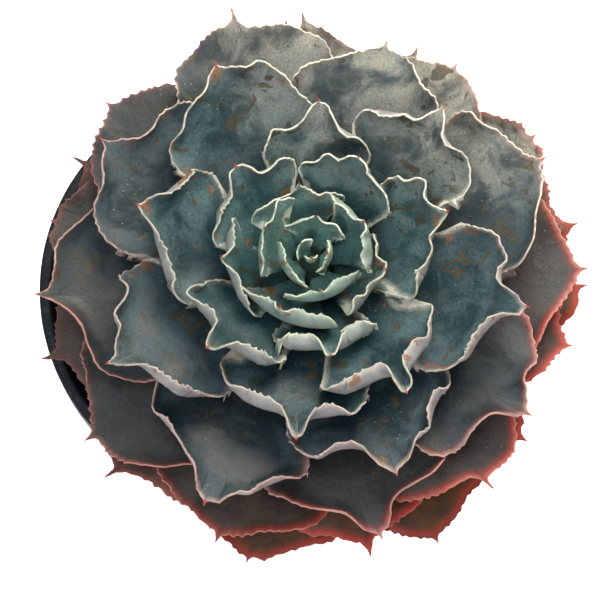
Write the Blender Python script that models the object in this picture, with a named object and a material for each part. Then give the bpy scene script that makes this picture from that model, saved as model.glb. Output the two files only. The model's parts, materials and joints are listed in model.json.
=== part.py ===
"""Potted echeveria: a wide rosette of broad, pointed leaves on a short stem, in a plastic pot.

Sizes below are in millimetres and angles in degrees; meshes are made in metres.
The origin is the centre of the pot's underside, and +Z is up.
Leaves are counted by age, 0 being the bud in the heart. Each is a patch of a bowl around the stem.
Older leaves lie on wider, flatter bowls under the younger ones, so the bowls nest and no leaves touch.
"""

import math

import bmesh
import bpy
import numpy as np
from mathutils import Vector

MM = 0.001
TOUCH_GAP = 0.3

# Pot
POT_HEIGHT = 125.0
POT_RIM_RADIUS = 85.0
POT_BASE_RADIUS = 60.0
POT_WALL = 1.6
FLOOR_THICKNESS = 2.4
RIM_GROOVE = 1.3
RIM_DEPTH = 14.0
RIM_EDGE_ROUND = 0.7
FOOT_WIDTH = 7.0
FOOT_HEIGHT = 2.5
FOOT_EDGE_ROUND = 1.0
CENTRE_PAD_RADIUS = 20.0
DRAIN_HOLE_RADIUS = 5.0
DRAIN_HOLES = 8
POT_SEGMENTS = 48

# Soil
SOIL_BELOW_RIM = 12.0
SOIL_MOUND = 1.5

# Stem, which stands at this (x, y) in the pot
PLANT_OFFSET = (21.0, -6.0)
STEM_RADIUS = 12.0
STEM_IN_SOIL = 14.0
STEM_SEGMENTS = 20
CROWN_WIDENING = 8.0

# Leaves
OLDEST_LEAF = 60
FALLEN_LEAVES = (53, 56, 58, 59)
TURN_PER_LEAF = 137.5
BUD_AZIMUTH = 268.5
LEAF_LENGTH = 95.0
LEAF_WIDTH = 64.0
LEAF_THICKNESS = 3.6
LEAF_BASE_THICKNESS = 2.6
MARGIN_THICKNESS = 1.1
LEAF_CLEARANCE = 0.6
OVERLAPPING_AT_BASE = 4.5
BASE_HALF_SPAN = 31.0
LEAVES_ABOVE_RIM = 12.0
WAVE_HEIGHT = 1.5
WAVES = 1.6

# How a leaf changes with age: (leaf, value) pairs joined by straight runs. Shares are of the sizes above.
# Elevation is the midline's average, and bend is how much steeper it is at the tip than at the stem.
LENGTH_SHARE = (
    (0, 0.12), (3, 0.18), (6, 0.25), (11, 0.34), (16, 0.53), (21, 0.74), (26, 0.88), (31, 0.97), (60, 1.02),
)
WIDTH_SHARE = ((0, 0.1), (3, 0.3), (6, 0.45), (9, 0.55), (15, 0.73), (21, 0.9), (27, 1.0), (60, 0.95))
THICKNESS_SHARE = ((0, 0.30), (6, 0.52), (15, 0.85), (24, 1.0), (60, 1.0))
WAVE_SHARE = ((0, 0.1), (21, 0.9), (27, 1.0), (34, 1.0), (40, 0.2), (60, 0.2))
ELEVATION = (
    (0, 84), (3, 73), (6, 61), (11, 43), (16, 32), (21, 25), (26, 17), (31, 8), (36, 3), (41, 0), (60, -5),
)
BEND = ((0, 10), (3, 18), (6, 24), (11, 28), (16, 26), (21, 22), (26, 18), (31, 14), (41, 10), (60, 6))

# Leaves that grew unlike their neighbours: how far the tip leans round the stem, and its reach as a share
# of the length that leaves of its age have
LEAN = {
    1: 10, 2: -12, 3: -8, 4: 4, 5: -20, 6: -5, 7: -2, 8: -6, 9: -13, 10: 16, 11: -12, 12: 4, 13: -1,
    14: -14, 15: 8, 16: -4, 17: -4, 18: -11, 19: -11, 20: 9, 21: 5, 22: -7, 23: -1, 24: 1, 26: -3, 27: -7,
    28: 6, 29: 6, 30: 3, 31: -1, 32: -3, 33: 5, 34: 11, 35: 3, 36: 3, 37: -4, 38: 8, 39: 4, 40: -2, 41: 3,
    42: -3, 43: 1, 44: 8, 45: -5, 46: 3, 47: -4, 48: 2, 49: 3, 50: -10, 51: -1, 52: 6, 54: 11, 55: -9,
    57: 11, 60: -2,
}
REACH = {
    2: 1.2, 6: 1.1, 7: 1.2, 9: 0.9, 10: 0.87, 12: 1.12, 14: 0.94, 15: 1.1, 18: 1.06, 20: 1.06,
    21: 0.92, 22: 1.04, 26: 0.94, 27: 0.97, 30: 1.06, 31: 0.95, 33: 0.96, 38: 1.03, 40: 0.97, 43: 0.96,
    44: 0.96, 51: 1.05, 52: 0.94,
}

# Outline of a leaf, as shares of its reach and half width. The shoulders are where the point begins.
WIDEST_AT = 0.66
NARROWING_ENDS_AT = 0.26
NARROWED_WIDTH = 0.42
SHOULDER = 0.75
POINT_SHARE = 0.38

# Mesh of a leaf: where its columns meet the edge, from one side over the tip to the other, and its rows
COLUMNS = (-1, -0.75, -0.5, -0.28, -0.09, 0, 0.09, 0.28, 0.5, 0.75, 1)
ROWS = (0, 0.3, 0.65, 1)
# The lower face has its own, a little off the upper's, so that the strips between the two aren't rectangles
COLUMNS_BELOW = (-1, -0.69, -0.45, -0.25, -0.07, 0, 0.07, 0.25, 0.45, 0.69, 1)
ROWS_BELOW = (0, 0.35, 0.7, 1)

FLOOR_TOP = FOOT_HEIGHT + FLOOR_THICKNESS
SOIL_TOP = POT_HEIGHT - SOIL_BELOW_RIM
RISE_PER_LEAF = (LEAF_BASE_THICKNESS + LEAF_CLEARANCE) / OVERLAPPING_AT_BASE
CROWN_HEIGHT = POT_HEIGHT + LEAVES_ABOVE_RIM + OLDEST_LEAF * RISE_PER_LEAF


def by_age(table, age):
    return float(np.interp(age, *zip(*table)))


def smooth(t):
    t = min(1.0, max(0.0, t))
    return t * t * (3 - 2 * t)


class Leaf:
    """The size, place and surface of the leaf of one age. Along it, s is the distance from the stem."""

    def __init__(self, age):
        self.age = age
        self.azimuth = math.radians(BUD_AZIMUTH - TURN_PER_LEAF * age)
        self.lean = math.radians(LEAN.get(age, 0))
        self.length = LEAF_LENGTH * by_age(LENGTH_SHARE, age)
        self.reach = self.length * REACH.get(age, 1)
        self.half_width = LEAF_WIDTH / 2 * by_age(WIDTH_SHARE, age)
        self.thickness = LEAF_THICKNESS * by_age(THICKNESS_SHARE, age)
        self.base_thickness = LEAF_BASE_THICKNESS * by_age(THICKNESS_SHARE, age)
        self.margin = min(MARGIN_THICKNESS, 0.6 * self.thickness)
        self.wave_height = WAVE_HEIGHT * by_age(WAVE_SHARE, age)
        self.base_radius = STEM_RADIUS * (1 - math.exp(-(age + 0.7) / CROWN_WIDENING))
        self.base_height = CROWN_HEIGHT - RISE_PER_LEAF * age
        bend = math.radians(by_age(BEND, age))
        self.start = math.radians(by_age(ELEVATION, age)) - bend / 2
        self.curve = bend / self.length

    def midline(self, s):
        """Distance from the stem's axis, height and elevation of the midline, which is an arc."""
        elevation = self.start + self.curve * s
        out = self.base_radius + (math.sin(elevation) - math.sin(self.start)) / self.curve
        up = self.base_height - (math.cos(elevation) - math.cos(self.start)) / self.curve
        return out, up, elevation

    def edge(self, u):
        """Distances along and across the flattened leaf to its edge: a point drawn out between broad
        shoulders, then sides that narrow. u is 0 at the tip, and 1 or -1 where a side stops narrowing."""
        if abs(u) <= SHOULDER:
            q = abs(u) / SHOULDER
            across = self.half_width * math.sin(q * math.pi / 2)
            point = (1 - POINT_SHARE) * (1 - q**2.4) ** 0.65 + POINT_SHARE * (1 - q) ** 2.2
            along = self.reach * (WIDEST_AT + (1 - WIDEST_AT) * point)
        else:
            t = smooth((abs(u) - SHOULDER) / (1 - SHOULDER))
            across = self.half_width * (1 + (NARROWED_WIDTH - 1) * t)
            along = self.reach * (WIDEST_AT + (NARROWING_ENDS_AT - WIDEST_AT) * t)
        return along, math.copysign(across, u)

    def middle(self, u, v):
        """A point halfway through the leaf, from the stem's axis. v is 0 at the stem and 1 on the edge."""
        along, across = self.edge(u)
        foot = u * math.radians(BASE_HALF_SPAN) * self.base_radius
        s = v * along
        out, up, elevation = self.midline(s)
        angle = self.azimuth + self.lean * s / self.length + (foot + (across - foot) * v) / out
        wave = self.wave_height * smooth((v - 0.4) / 0.6) * math.sin(2 * math.pi * WAVES * u + self.age)
        out -= wave * math.sin(elevation)
        up += wave * math.cos(elevation)
        return Vector((out * math.cos(angle), out * math.sin(angle), up))

    def normal(self, u, v):
        step = 0.01
        across = self.middle(u + step, v) - self.middle(u - step, v)
        along = self.middle(u, v + step) - self.middle(u, v - step)
        return along.cross(across).normalized()

    def thickness_at(self, u, v):
        body = self.base_thickness + (self.thickness - self.base_thickness) * smooth(v / 0.5)
        return self.margin + (body - self.margin) * (1 - u * u) * (1 - v**3)


def plain_material(name, colour, roughness):
    material = bpy.data.materials.new(name)
    material.use_nodes = True
    shader = material.node_tree.nodes["Principled BSDF"]
    shader.inputs["Base Color"].default_value = (*colour, 1)
    shader.inputs["Roughness"].default_value = roughness
    shader.inputs["Metallic"].default_value = 0
    return material


def finished_object(name, work, material, sharp_degrees=30):
    """An object from a bmesh, with its faces turned out and shaded smooth except at sharp edges."""
    bmesh.ops.recalc_face_normals(work, faces=work.faces)
    mesh = bpy.data.meshes.new(name)
    work.to_mesh(mesh)
    work.free()
    mesh.shade_smooth()
    mesh.set_sharp_from_angle(angle=math.radians(sharp_degrees))
    mesh.materials.append(material)
    obj = bpy.data.objects.new(name, mesh)
    bpy.context.scene.collection.objects.link(obj)
    return obj


def turned(outline, segments):
    """A closed bmesh turned about +Z from an outline of (radius, height) points. Its ends lie on the axis."""
    work = bmesh.new()
    points = [work.verts.new((radius * MM, 0, height * MM)) for radius, height in outline]
    edges = [work.edges.new(pair) for pair in zip(points, points[1:])]
    full_turn = 2 * math.pi
    bmesh.ops.spin(work, geom=points + edges, axis=(0, 0, 1), cent=(0, 0, 0), angle=full_turn, steps=segments)
    bmesh.ops.remove_doubles(work, verts=work.verts, dist=0.001 * MM)
    return work


def cut_posts(obj, name, radius, depth, places, segments):
    """Cuts round posts out of obj. Their middles are at places."""
    size = {"radius1": radius * MM, "radius2": radius * MM, "depth": depth * MM}
    work = bmesh.new()
    for place in places:
        post = bmesh.ops.create_cone(work, cap_ends=True, segments=segments, **size)
        bmesh.ops.translate(work, verts=post["verts"], vec=Vector(place) * MM)
    cutter = finished_object(name, work, obj.data.materials[0])
    cutter.hide_render = True
    cutter.display_type = "WIRE"
    cut = obj.modifiers.new(name, "BOOLEAN")
    cut.operation = "DIFFERENCE"
    cut.object = cutter


def pot_inner_radius(height):
    """Radius of the pot's inside at a height above its underside. The wall tapers evenly."""
    base = POT_BASE_RADIUS - POT_WALL
    top = POT_RIM_RADIUS - 2 * POT_WALL - RIM_GROOVE
    return base + (top - base) * height / POT_HEIGHT


def pot_outer_radius(height):
    return pot_inner_radius(height) + POT_WALL


def pot_outline():
    """Half section of the pot: along the underside from its middle, up the outside and down the inside."""
    skirt = POT_HEIGHT - RIM_DEPTH
    under_rim = POT_HEIGHT - POT_WALL
    rounded = POT_HEIGHT - RIM_EDGE_ROUND
    groove = POT_RIM_RADIUS - POT_WALL
    foot = POT_BASE_RADIUS - FOOT_WIDTH
    return (
        (0, 0),
        (CENTRE_PAD_RADIUS, 0),
        (CENTRE_PAD_RADIUS + FOOT_EDGE_ROUND, FOOT_HEIGHT),
        (foot - FOOT_EDGE_ROUND, FOOT_HEIGHT),
        (foot, 0),
        (POT_BASE_RADIUS - FOOT_EDGE_ROUND, 0),
        (pot_outer_radius(FOOT_EDGE_ROUND), FOOT_EDGE_ROUND),
        (pot_outer_radius(skirt), skirt),
        (pot_outer_radius(under_rim), under_rim),
        (groove, under_rim),
        (groove, skirt),
        (POT_RIM_RADIUS, skirt),
        (POT_RIM_RADIUS, rounded),
        (POT_RIM_RADIUS - RIM_EDGE_ROUND, POT_HEIGHT),
        (pot_inner_radius(POT_HEIGHT) + RIM_EDGE_ROUND, POT_HEIGHT),
        (pot_inner_radius(rounded), rounded),
        (pot_inner_radius(FLOOR_TOP), FLOOR_TOP),
        (0, FLOOR_TOP),
    )


def make_pot():
    """The pot, with drain holes halfway between its centre pad and its foot."""
    plastic = plain_material("pot_plastic", (0.015, 0.02, 0.026), 0.45)
    pot = finished_object("pot", turned(pot_outline(), POT_SEGMENTS), plastic)
    ring = (CENTRE_PAD_RADIUS + POT_BASE_RADIUS - FOOT_WIDTH) / 2
    angles = [2 * math.pi * (k + 0.5) / DRAIN_HOLES for k in range(DRAIN_HOLES)]
    places = [(ring * math.cos(angle), ring * math.sin(angle), FLOOR_TOP / 2) for angle in angles]
    cut_posts(pot, "drain_cutter", DRAIN_HOLE_RADIUS, 3 * FLOOR_TOP, places, segments=16)


def make_soil():
    """A plug that fills the pot, a little higher in the middle, with a socket for the stem."""
    foot = FLOOR_TOP + TOUCH_GAP
    wall = pot_inner_radius(SOIL_TOP) - TOUCH_GAP
    outline = [(0, foot), (pot_inner_radius(foot) - TOUCH_GAP, foot), (wall, SOIL_TOP)]
    for share in (0.9, 0.6, 0.3, 0):
        outline.append((wall * share, SOIL_TOP + SOIL_MOUND * (1 - share * share)))
    mix = plain_material("soil_mix", (0.05, 0.035, 0.025), 0.95)
    soil = finished_object("soil", turned(outline, POT_SEGMENTS), mix)
    radius = STEM_RADIUS + TOUCH_GAP
    depth = 2 * (STEM_IN_SOIL + TOUCH_GAP)
    cut_posts(soil, "socket_cutter", radius, depth, [(*PLANT_OFFSET, SOIL_TOP)], STEM_SEGMENTS)


def make_stem(plant):
    """The stem stands in the soil and narrows to a point in the heart, just clear of every leaf's foot."""
    buried = SOIL_TOP - STEM_IN_SOIL
    outline = [(0, buried), (STEM_RADIUS, buried), (STEM_RADIUS, SOIL_TOP + 2 * SOIL_MOUND)]
    for age in (60, 48, 36, 26, 18, 12, 8, 5, 3, 1.5):
        leaf = Leaf(age)
        inset = leaf.base_thickness / 2 * abs(math.sin(leaf.start)) + 2 * TOUCH_GAP
        outline.append((max(TOUCH_GAP, leaf.base_radius - inset), leaf.base_height))
    outline.append((0, CROWN_HEIGHT - RISE_PER_LEAF))
    bark = plain_material("stem_bark", (0.20, 0.14, 0.09), 0.85)
    stem = finished_object("stem", turned(outline, STEM_SEGMENTS), bark)
    stem.parent = plant


def leaf_face(work, leaf, columns, rows, side):
    """The vertices of one face, row by row. Side is the share of the thickness that it is above the middle."""
    verts = []
    for v in rows:
        for u in columns:
            shift = leaf.normal(u, v) * leaf.thickness_at(u, v) * side
            verts.append(work.verts.new((leaf.middle(u, v) + shift) * MM))
    return verts


def leaf_solid(leaf):
    """A closed bmesh of a leaf: its upper and lower faces, joined round the edge and across the foot."""
    work = bmesh.new()
    upper = leaf_face(work, leaf, COLUMNS, ROWS, 0.5)
    lower = leaf_face(work, leaf, COLUMNS_BELOW, ROWS_BELOW, -0.5)
    wide = len(COLUMNS)
    last_row = wide * (len(ROWS) - 1)
    for row in range(0, last_row, wide):
        for corner in range(row, row + wide - 1):
            quad = (corner, corner + 1, corner + 1 + wide, corner + wide)
            work.faces.new([upper[k] for k in quad])
            work.faces.new([lower[k] for k in reversed(quad)])
    border = list(range(wide))
    border += list(range(2 * wide - 1, last_row + wide, wide))
    border += list(range(last_row + wide - 2, last_row - 1, -1))
    border += list(range(last_row - wide, 0, -wide))
    for a, b in zip(border, border[1:] + border[:1]):
        work.faces.new((upper[b], upper[a], lower[a], lower[b]))
    return work


def make_leaves(plant):
    """Every leaf that hasn't fallen, numbered from the bud outwards."""
    looks = (
        (15, plain_material("leaf_heart", (0.07, 0.13, 0.12), 0.6)),
        (30, plain_material("leaf_middle", (0.09, 0.13, 0.13), 0.6)),
        (45, plain_material("leaf_outer", (0.12, 0.09, 0.095), 0.6)),
        (OLDEST_LEAF, plain_material("leaf_lowest", (0.10, 0.04, 0.035), 0.6)),
    )
    ages = [age for age in range(OLDEST_LEAF + 1) if age not in FALLEN_LEAVES]
    for number, age in enumerate(ages, 1):
        material = next(material for oldest, material in looks if age <= oldest)
        obj = finished_object(f"leaf_{number:02d}", leaf_solid(Leaf(age)), material, sharp_degrees=60)
        obj.parent = plant


def main():
    for obj in list(bpy.data.objects):
        bpy.data.objects.remove(obj)
    make_pot()
    make_soil()
    plant = bpy.data.objects.new("plant", None)
    plant.location = [offset * MM for offset in (*PLANT_OFFSET, 0)]
    bpy.context.scene.collection.objects.link(plant)
    make_stem(plant)
    make_leaves(plant)


main()
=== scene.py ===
"""Looks of the potted echeveria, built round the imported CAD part.

Every leaf is grown again where its CAD solid is, with a finer outline, teeth, a curled and ruffled margin,
and a red point. A margin only curls as far as the CAD neighbours leave room. Leaves of the heart bend more
and are broader than their solids, and older leaves are a little broader.
Sizes are in millimetres and angles in degrees unless a name says otherwise; meshes are made in metres.
"""

import json
import math

import bmesh
import bpy
import numpy as np
from mathutils import Matrix, Vector
from mathutils.bvhtree import BVHTree

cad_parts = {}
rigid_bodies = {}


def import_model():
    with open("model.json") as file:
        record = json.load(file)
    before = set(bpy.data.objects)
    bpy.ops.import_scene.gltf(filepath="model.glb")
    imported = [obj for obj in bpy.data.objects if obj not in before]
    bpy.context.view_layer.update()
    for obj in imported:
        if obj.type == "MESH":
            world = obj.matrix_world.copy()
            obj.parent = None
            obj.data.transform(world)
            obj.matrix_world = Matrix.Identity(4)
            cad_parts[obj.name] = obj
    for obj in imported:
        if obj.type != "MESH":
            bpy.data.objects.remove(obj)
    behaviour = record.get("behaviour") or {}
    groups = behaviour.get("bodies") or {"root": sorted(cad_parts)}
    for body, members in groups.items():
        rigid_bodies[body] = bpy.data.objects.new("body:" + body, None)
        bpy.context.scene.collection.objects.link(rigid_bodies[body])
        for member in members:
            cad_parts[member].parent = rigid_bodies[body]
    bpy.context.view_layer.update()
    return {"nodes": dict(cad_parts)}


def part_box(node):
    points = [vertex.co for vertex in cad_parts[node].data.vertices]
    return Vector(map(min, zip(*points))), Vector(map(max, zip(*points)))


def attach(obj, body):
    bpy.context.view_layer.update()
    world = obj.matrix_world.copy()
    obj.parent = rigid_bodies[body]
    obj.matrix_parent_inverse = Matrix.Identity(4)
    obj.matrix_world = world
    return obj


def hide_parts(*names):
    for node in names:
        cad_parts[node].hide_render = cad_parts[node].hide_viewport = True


MM = 0.001
SEED = 20

# The plant's build, as in the CAD part
OLDEST_LEAF = 60
FALLEN_LEAVES = (53, 56, 58, 59)
TURN_PER_LEAF = 137.5
BUD_AZIMUTH = 268.5
LEAF_LENGTH = 95.0
LEAF_WIDTH = 64.0
LEAF_THICKNESS = 3.6
LEAF_BASE_THICKNESS = 2.6
STEM_RADIUS = 12.0
CROWN_WIDENING = 8.0
BASE_HALF_SPAN = 31.0
LEAVES_ABOVE_RIM = 12.0
RISE_PER_LEAF = 3.2 / 4.5
LENGTH_SHARE = (
    (0, 0.12), (3, 0.18), (6, 0.25), (11, 0.34), (16, 0.53), (21, 0.74), (26, 0.88), (31, 0.97), (60, 1.02),
)
THICKNESS_SHARE = ((0, 0.30), (6, 0.52), (15, 0.85), (24, 1.0), (60, 1.0))
ELEVATION = (
    (0, 84), (3, 73), (6, 61), (11, 43), (16, 32), (21, 25), (26, 17), (31, 8), (36, 3), (41, 0), (60, -5),
)
LEAN = {
    1: 10, 2: -12, 3: -8, 4: 4, 5: -20, 6: -5, 7: -2, 8: -6, 9: -13, 10: 16, 11: -12, 12: 4, 13: -1,
    14: -14, 15: 8, 16: -4, 17: -4, 18: -11, 19: -11, 20: 9, 21: 5, 22: -7, 23: -1, 24: 1, 26: -3, 27: -7,
    28: 6, 29: 6, 30: 3, 31: -1, 32: -3, 33: 5, 34: 11, 35: 3, 36: 3, 37: -4, 38: 8, 39: 4, 40: -2, 41: 3,
    42: -3, 43: 1, 44: 8, 45: -5, 46: 3, 47: -4, 48: 2, 49: 3, 50: -10, 51: -1, 52: 6, 54: 11, 55: -9,
    57: 11, 60: -2,
}
REACH = {
    2: 1.2, 6: 1.1, 7: 1.2, 9: 0.9, 10: 0.87, 12: 1.12, 14: 0.94, 15: 1.1, 18: 1.06, 20: 1.06,
    21: 0.92, 22: 1.04, 26: 0.94, 27: 0.97, 30: 1.06, 31: 0.95, 33: 0.96, 38: 1.03, 40: 0.97, 43: 0.96,
    44: 0.96, 51: 1.05, 52: 0.94,
}

# Widths. From age 22 on the leaves are a little broader than in the CAD part.
WIDTH_SHARE = (
    (0, 0.1), (3, 0.3), (6, 0.45), (9, 0.55), (15, 0.73), (21, 0.9), (27, 1.03), (34, 1.12), (60, 1.06),
)

# How much leaves bend from stem to tip, those of the heart that curl in further, and how much the CAD leaves
# bend. A leaf that bends more than its solid is grown longer, so that it spans the same distance.
BEND = (
    (0, 25), (3, 62), (6, 72), (9, 62), (12, 46), (16, 32), (21, 23), (26, 18), (31, 14), (41, 10), (60, 6),
)
CURLING_IN = {3: 95, 5: 112, 8: 135, 11: 88, 13: 62}
CAD_BEND = ((0, 10), (3, 18), (6, 24), (11, 28), (16, 26), (21, 22), (26, 18), (31, 14), (41, 10), (60, 6))

# How leaves of some ages differ in width, as a share of what their age gives
WIDER = {3: 1.25, 4: 1.2, 5: 1.25, 6: 1.2, 7: 1.2, 8: 1.25, 9: 1.1, 17: 0.88, 20: 0.95}

# Outline: where it is widest, where it has narrowed toward the stem, and to what share of its width
WIDEST_AT = 0.66
NARROWING_ENDS_AT = 0.26
NARROWED_WIDTH = 0.42
# The share of the outline, counted from the tip, that is beyond the widest place, and how it comes to a point
SHOULDER = 0.75
ROUND_POWERS = (3.6, 0.62)
POINT_SHARE = 0.33
POINT_POWER = 2.0
SPIKE_SHARE = 0.045
SHORTEST_SPIKE = 2.5
SPIKE_WIDTH = 0.9
# Lobes, small lobes and teeth: how high they are and how far apart, lobes on a leaf of full width
LOBE_HEIGHT = 3.0
LOBE_SPACING = 17
SMALL_LOBE_SPACING = 8
SMALL_LOBE_SHARE = 0.5
TOOTH_HEIGHT = 0.75
TOOTH_SPACING = 3.3
# Teeth and lobes start this far from the tip and reach their height over the distance after it
SMOOTH_TIP = 1.5
SMOOTH_TIP_FADE = 6

# The side of the plant that has had more sun and reddened, counter-clockwise from +X. The red along its rims
# is also a painted glow of light shining through them, and rims on the far side get painted shade
RED_AND_GLOW_SIDE = -48.0
# The side facing the key lamp, where pale chalk is painted on the leaves as painted light and the rims get a
# painted highlight
PAINTED_LIGHT_SIDE = 68.0

# Margin: how wide the curling strip is, the turn of its edge for leaves of each age, and how much that varies
CURL_WIDTH = 10.0
CURL_WIDTH_SHARE = 0.42
CURL_TURN = ((0, 8), (4, 40), (8, 80), (13, 120), (20, 120), (27, 80), (34, 30), (45, 10), (60, 5))
RUFFLE_TURN = ((0, 18.75), (4, 75), (10, 125), (20, 150), (30, 125), (40, 75), (60, 31.25))
FAR_SIDE_CURL = 0.6
# No curl this close to the tip, and the distance over which it grows. Curls nearer the tip than the third
# number are alike on both sides, and the fourth is how that fades.
FLAT_TIP = 3.5
FLAT_TIP_FADE = 11
ALIKE_UNTIL = 10
ALIKE_FADE = 14
CURL_ENDS_OVER = 0.25
# The share of the room up to a neighbour that a curl may take, and how far neighbours are looked for
ROOM_SHARE = 0.45
FARTHEST_NEIGHBOUR = 30
TIGHT_REACH = 3
LEAST_TURN = 1e-3
LEAST_BEND = 1e-4
RIM_THICKNESS = 0.7
RIM_REGION = 5
LEAST_THICKNESS = 0.06

# Lengths of margin that roll right over, by the leaf's age: from and to, as shares of the half outline with
# the tip at 0 and the counter-clockwise side positive, and the extra turn
LIPS = {
    5: ((0.1, 0.6, 50),),
    8: ((-0.7, -0.15, 70), (0.3, 0.75, 60)),
    10: ((0.15, 0.5, 90), (-0.6, -0.3, 90)),
    11: ((0.05, 0.6, 90),),
    13: ((-0.6, -0.08, 90), (0.08, 0.65, 90)),
    14: ((0.12, 0.7, 80),),
    15: ((-0.65, -0.3, 100),),
    16: ((0.08, 0.65, 100), (-0.75, -0.4, 110)),
    18: ((-0.45, -0.08, 80), (0.3, 0.7, 90)),
    19: ((0.12, 0.75, 130),),
    21: ((0.1, 0.5, 60), (-0.5, -0.1, 50)),
    22: ((0.1, 0.45, 60), (-0.6, -0.2, 50)),
    24: ((0.08, 0.65, 100),),
    26: ((0.1, 0.5, 70), (-0.5, -0.1, 60)),
}

LIP_FADE = 0.12

# How much of a leaf's wrap round the heart is opened out to a plane
OPENING = ((0, 0), (3, 0.35), (12, 0.35), (18, 0.12), (26, 0), (60, 0))

# Meshes of leaves: columns end about this far apart on the edge, more on the oldest leaves and less near the
# tip. Rows are closer toward the edge, and the last ones are at these depths from it. Teeth start at
# DETAIL_FROM.
COLUMN_STEP = 0.75
COARSER = 1.8
OLDEST_FINE_LEAF = 45
TIP_CROWDING = 2.5
TIP_CROWDED = 3
FEWEST_COLUMNS = 32
OUTLINE_SAMPLES = 800
ROWS_IN_BLADE = 20
ROW_CROWDING = 0.8
RIM_DEPTHS = (1.2, 0.6, 0.28, 0.09, 0.0)
LAST_BLADE_DEPTH = 1.6
DETAIL_FROM = 0.82
NEAR_RIM = 0.6
NUDGE = 0.05
BATCH = 2048


def by_age(table, age):
    return float(np.interp(age, *zip(*table)))


def smooth(t):
    t = np.clip(t, 0.0, 1.0)
    return t * t * (3 - 2 * t)


def wander(rng, length, step):
    """A smooth random function of a distance, between about -1 and 1, with bends about every step."""
    knots = rng.uniform(-1, 1, int(length / step) + 4)
    places = np.arange(len(knots)) * step - step

    def value(x):
        x = np.asarray(x, float)
        k = np.clip(((x + step) // step).astype(int), 0, len(knots) - 2)
        t = smooth((x - places[k]) / step)
        return knots[k] * (1 - t) + knots[k + 1] * t

    return value


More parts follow.
